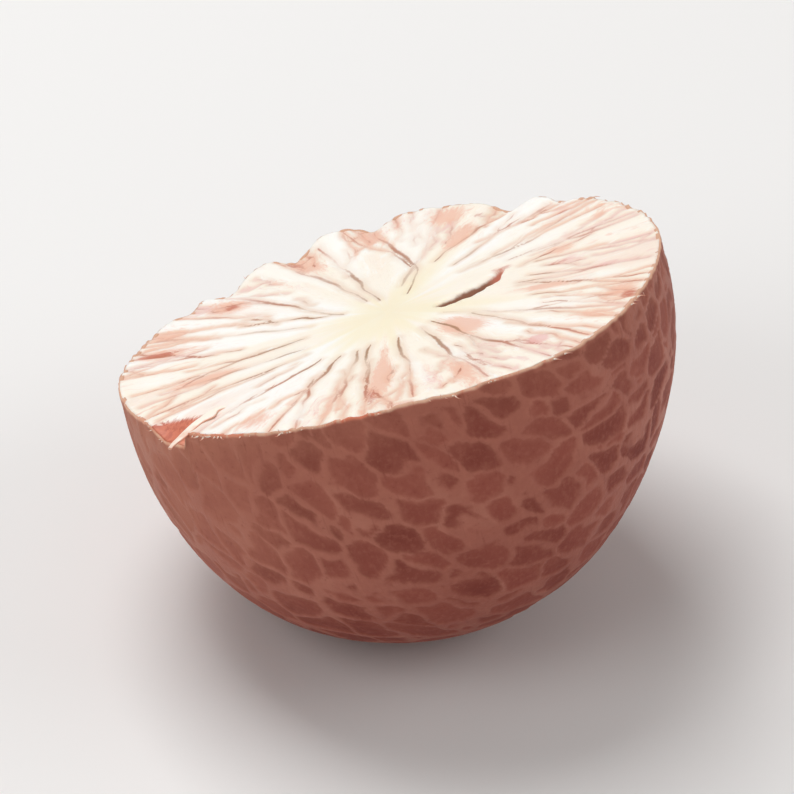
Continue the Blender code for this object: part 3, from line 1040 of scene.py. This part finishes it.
def finish_kernel(material):
    """Cream lobes, stains, patches, veins, slit and tear, one over the other."""
    tree, shader, place = start_finish(material)
    share = stored(tree, "share")
    grain = noise(place, 2600.0, 4.0)
    cloud = noise(place, 420.0, 3.0)
    bend = noise(place, 380.0, 2.0, 0.5, "Color")
    fan = vector_calc(tree, "MULTIPLY_ADD", bend, (STREAK_BEND,) * 3, stored(tree, "fan", "Vector"))
    streak = noise(fan, 2.4, 5.0, 0.62)
    fine_streak = noise(fan, 9.0, 4.0, 0.6)
    away = stored(tree, "vein away") / MM
    clean = ramp(stored(tree, "clean") + (streak - 0.5) * 0.6, 0.15, 0.70) * 0.85
    outer = ramp(share, 0.30, 0.95) * (1.0 - clean)
    # cream lobes, each with a tint of its own
    lobe = wire(tree, "ShaderNodeTexVoronoi", {"Vector": fan, "Scale": 0.42}, "Color", feature="SMOOTH_F1")
    whiteness, blushing, rosiness = split(lobe)
    tone = layer(CREAM, CHALK, whiteness, 0.25, 0.75)
    tone = blend(tone, BLUSH, ramp(blushing, 0.45, 0.85) * (outer * 0.7))
    # a greyer tone beside each vein: partly the kernel's own halo round a fold, partly painted shade of
    # the valley the face sinks into there
    tone = layer(tone, SHADE, away, 0.60, 0.05, 0.75)
    tone = layer(tone, SHADE, fine_streak, 0.50, 0.32, 0.22)
    tone = layer(tone, CHALK, streak, 0.56, 0.75, 0.8)
    tone = blend(tone, CHALK, clean * 0.6)
    tone = blend(tone, IVORY, stored(tree, "core") * 0.85)
    # a stain that grows towards the rim, in streaks and along the veins
    warm = layer(SALMON, ROSE, rosiness, 0.40, 0.60)
    far = ramp(share, 0.45, 1.0, 0.0, 0.6) * (1.0 - clean)
    tone = blend(tone, warm, ramp(streak + (cloud - 0.5) * 0.4, 0.46, 0.30) * far)
    tone = blend(tone, warm, ramp(away + streak * 0.5, 0.60, 0.22, 0.0, 0.65) * outer)
    # patches with broken edges
    broken = (fine_streak - 0.5) * 1.1 + (cloud - 0.5) * 0.9
    for name, colour, low, high, most in (
            ("salmon", SALMON, 0.18, 0.75, 0.80), ("pink", PINK, 0.2, 0.9, 0.6),
            ("rust", RUST, 0.35, 0.9, 0.80)):
        patch = stored(tree, name)
        tone = blend(tone, colour, ramp(patch + broken, low, high, 0.0, most) * ramp(patch, 0.02, 0.2))
    # the veins themselves: thin lines, broken here and there
    side = calc(tree, "ABSOLUTE", stored(tree, "vein side") / MM)
    line = (side + (grain - 0.5) * 0.14) / (stored(tree, "vein half width") / MM)
    line = ramp(line, 1.5, 0.4) * ramp(away - side, 0.12, 0.07)
    dark = ramp(stored(tree, "vein dark") + (cloud - 0.5) * 0.9, 0.1, 0.85)
    vein_tone = layer(VEIN_BROWN, VEIN_RUST, share + cloud * 0.6, 0.6, 1.2)
    tone = blend(tone, vein_tone, line * dark * 0.85)
    # slit, tear and wall
    slit_tone = layer(SLIT_BROWN, SLIT_RED, share, 0.36, 0.41)
    tone = layer(tone, slit_tone, stored(tree, "slit") + (grain - 0.5) * 0.25, 0.12, 0.40)
    torn_tone = layer(TORN_RUST, RUST, fine_streak, 0.4, 0.6)
    torn_tone = layer(torn_tone, SALMON, cloud, 0.55, 0.75, 0.6)
    tone = layer(tone, torn_tone, stored(tree, "torn") + (fine_streak - 0.5) * 0.5, 0.08, 0.28)
    tone = layer(tone, EDGE_BROWN, share, 1.0005, 1.004)
    fill(shader, "Base Color", tone)
    fill(shader, "Roughness", ramp(grain, 0.3, 0.7, 0.46, 0.62))
    fill(shader, "Subsurface Weight", 0.12)
    fill(shader, "Subsurface Radius", (1.0, 0.7, 0.45))
    fill(shader, "Subsurface Scale", 0.5 * MM)
    add_relief(shader, fine_streak * 0.6 + grain * 0.4, 0.5, 0.06 * MM)


finish_kernel(kernel_finish)

# %% [markdown]
# ## The skin's finish
# The islands of the net are a dull red brown, the cords a paler tan. Here and there the net has
# worn away to one even tone. To the left and near the rim the whole skin is paler, where the husk
# rubbed it. Lower down it is darker: that is painted shade. It is dry, so it has no gloss beyond a
# faint sheen on the cords.

# %% The skin's finish
ISLAND = photo_colour(156, 81, 68)
ISLAND_DEEP_AND_SHADE = photo_colour(124, 53, 43)
CORD = photo_colour(188, 117, 98)
CREST = photo_colour(206, 142, 122)
WORN = photo_colour(164, 92, 77)
RUBBED = photo_colour(190, 124, 102)
SAWN_EDGE = photo_colour(218, 172, 146)


def finish_skin(material):
    """Islands, cords, worn and rubbed places, painted shade lower down, mottling and the sawn edge."""
    tree, shader, place = start_finish(material)
    net = stored(tree, "net")
    run = stored(tree, "run")
    grain = noise(place, 3000.0, 5.0, 0.6)
    cloud = noise(place, 330.0, 3.0)
    fibre = noise(stored(tree, "fan", "Vector"), 7.0, 4.0, 0.6)
    tone = layer(ISLAND_DEEP_AND_SHADE, ISLAND, stored(tree, "island") + (cloud - 0.5) * 1.2, 0.0, 1.0)
    tone = blend(tone, CORD, stored(tree, "beside net") * 0.30)
    edge = net + (grain - 0.5) * 0.4
    tone = layer(tone, CORD, edge, 0.0, 1.0, 0.75)
    tone = blend(tone, CREST, ramp(edge, 0.6, 1.2) * ramp(cloud, 0.45, 0.70, 0.0, 0.5))
    # worn places and the rubbed side
    worn = ramp(noise(place, 150.0, 2.0), 0.42, 0.62, 0.0, 0.36) + ramp(run, 0.30, 0.04, 0.0, 0.28)
    tone = blend(tone, WORN, worn)
    rubbed = stored(tree, "tan") + ramp(run, 0.10, 0.0, 0.0, 0.35)
    tone = blend(tone, RUBBED, rubbed * ramp(cloud, 0.2, 0.6, 0.5, 1.0) * 0.8)
    # painted shade: darker lower down; then grain and fibres all over
    tone = layer(tone, ISLAND_DEEP_AND_SHADE, run, 0.10, 0.65, 0.50)
    tone = layer(tone, CORD, grain, 0.45, 0.75, 0.30)
    tone = layer(tone, ISLAND_DEEP_AND_SHADE, grain, 0.42, 0.25, 0.35)
    tone = layer(tone, ISLAND_DEEP_AND_SHADE, fibre, 0.58, 0.72, 0.22)
    # the sawn edge, rusty where it is frayed
    rust = ramp(cloud + (fibre - 0.5) * 0.8, 0.42, 0.62) * stored(tree, "frayed")
    tone = layer(tone, blend(SAWN_EDGE, TORN_RUST, rust), run, 0.008, 0.001)
    fill(shader, "Base Color", tone)
    fill(shader, "Roughness", ramp(net, 0.0, 1.0, 0.72, 0.55))
    fill(shader, "Specular IOR Level", 0.22)
    add_relief(shader, grain * 0.7 + fibre * 0.3, 0.8, 0.09 * MM)


def finish_splinters(material):
    """Cream where a shred leaves the kernel, salmon to brown towards its tip."""
    tree, shader, place = start_finish(material)
    cloud = noise(place, 900.0, 3.0)
    tip = stored(tree, "tip") + (cloud - 0.5) * 1.1
    tone = layer(CREAM, SALMON, tip, 0.15, 0.6)
    fill(shader, "Base Color", layer(tone, TORN_RUST, tip, 0.5, 1.1, 0.9))
    fill(shader, "Roughness", ramp(cloud, 0.3, 0.7, 0.5, 0.65))


finish_skin(skin_finish)
finish_splinters(splinter_finish)

# %% [markdown]
# ## Laying the half down
# So far everything lies in the nut's own frame. Now each piece is turned as the half lies, set in
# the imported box, and kept above the ground: the outside flattens on the rest spot, and what lies
# under the skin stays inside it.

# %% Turning and placing
def lean_matrix():
    """The turn from the nut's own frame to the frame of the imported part."""
    lean = Euler((0.0, 0.0, TURN)).to_matrix()
    lean.rotate(Euler((-LEAN_BACK, 0.0, 0.0)))
    lean.rotate(Euler((0.0, -LEAN_LEFT, 0.0)))
    return np.array(lean)


def place_in_box(lean):
    """Where the middle of the face goes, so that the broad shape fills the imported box."""
    angle = ring_angles(144)
    skin_points = np.vstack([side_points(step / 24, angle) for step in range(24)]) @ lean.T
    low, high = skin_points.min(0), skin_points.max(0)
    box_low, box_high = (np.array(corner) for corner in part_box(NODE))
    middle = (box_low + box_high) / 2.0 - (low + high) / 2.0
    return np.array((middle[0], middle[1], box_high[2] - high[2]))


def lay_down(piece, lean, move, lift):
    """Turns a piece, moves it and keeps every point at least its lift above the ground."""
    count = len(piece.data.vertices)
    points = np.empty(count * 3)
    piece.data.vertices.foreach_get("co", points)
    points = points.reshape(-1, 3) @ lean.T + move
    points[:, 2] = np.maximum(points[:, 2], lift)
    piece.data.vertices.foreach_set("co", points.ravel())
    piece.data.update()
    piece.data.shade_smooth()


lean = lean_matrix()
move = place_in_box(lean)
print("face middle in mm:", (move / MM).round(2))
lay_down(kernel, lean, move, SKIN_LAP)
lay_down(skin, lean, move, SKIN_THICKNESS * (1.0 - skin_outside))
lay_down(splinters, lean, move, 0.0)
lay_down(sliver, lean, move, 0.0)

# %% [markdown]
# ## Handing the pieces to the frame
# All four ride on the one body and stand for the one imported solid.

# %% Riding and replacing
for piece in (kernel, skin, splinters, sliver):
    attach(piece, "root")
    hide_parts(NODE)

# %% [markdown]
# ## Floor, light and camera
# A plain pale floor and three broad lamps give soft daylight: the main one high and a little
# behind, so that the face is bright and the near side of the skin is calmer, as in the photo. The
# camera looks down from the photo's angle through a long lens, which keeps the shape undistorted.

# %% Floor and world
FLOOR_REACH = 1.0
FLOOR_GAP = 0.02 * MM
scene = bpy.context.scene
corners = [(x * FLOOR_REACH, y * FLOOR_REACH, 0.0) for x, y in ((-1, -1), (1, -1), (1, 1), (-1, 1))]
floor = add_mesh("floor", corners, [], [(0, 1, 2, 3)])
floor.location.z = -FLOOR_GAP
floor_finish = bpy.data.materials.new("pale floor")
floor_shader = start_finish(floor_finish)[1]
fill(floor_shader, "Base Color", photo_colour(237, 236, 235))
fill(floor_shader, "Roughness", 0.8)
floor.data.materials.append(floor_finish)
floor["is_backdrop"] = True

world = bpy.data.worlds.new("soft room")
world.use_nodes = True
fill(world.node_tree.nodes["Background"], "Color", (1.0, 0.98, 0.96, 1.0))
fill(world.node_tree.nodes["Background"], "Strength", 0.25)
scene.world = world


# %% Lamps
NUT_MIDDLE = Vector((0.0, 0.0, 0.012))


def add_lamp(name, place, size, power):
    """A square soft lamp that faces the nut."""
    data = bpy.data.lights.new(name, "AREA")
    data.size = size
    data.energy = power
    lamp = add_object(name, data)
    lamp.location = place
    lamp.rotation_mode = "QUATERNION"
    lamp.rotation_quaternion = (NUT_MIDDLE - Vector(place)).to_track_quat("-Z", "Y")


add_lamp("main lamp", (-0.10, 0.14, 0.36), 0.22, 1.04)
add_lamp("front lamp", (-0.26, -0.22, 0.30), 0.25, 0.44)
add_lamp("right lamp", (0.34, -0.02, 0.20), 0.25, 0.36)

# %% Camera
CAMERA_RISE = math.radians(37.5)
LENS = 400.0
FRAME_SHARE = 0.70
low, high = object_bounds()
target = (low + high) / 2.0
back = Vector((0.0, -math.cos(CAMERA_RISE), math.sin(CAMERA_RISE)))
data = bpy.data.cameras.new("camera")
data.lens = LENS
data.clip_start = 0.01
data.clip_end = 10.0
distance = (high.x - low.x) / FRAME_SHARE / data.sensor_width * LENS
camera = add_object("camera", data)
camera.location = target + back * distance
camera.rotation_mode = "QUATERNION"
camera.rotation_quaternion = (-back).to_track_quat("-Z", "Y")
scene.camera = camera
scene.view_settings.view_transform = "Standard"
print("camera distance:", round(distance, 3))
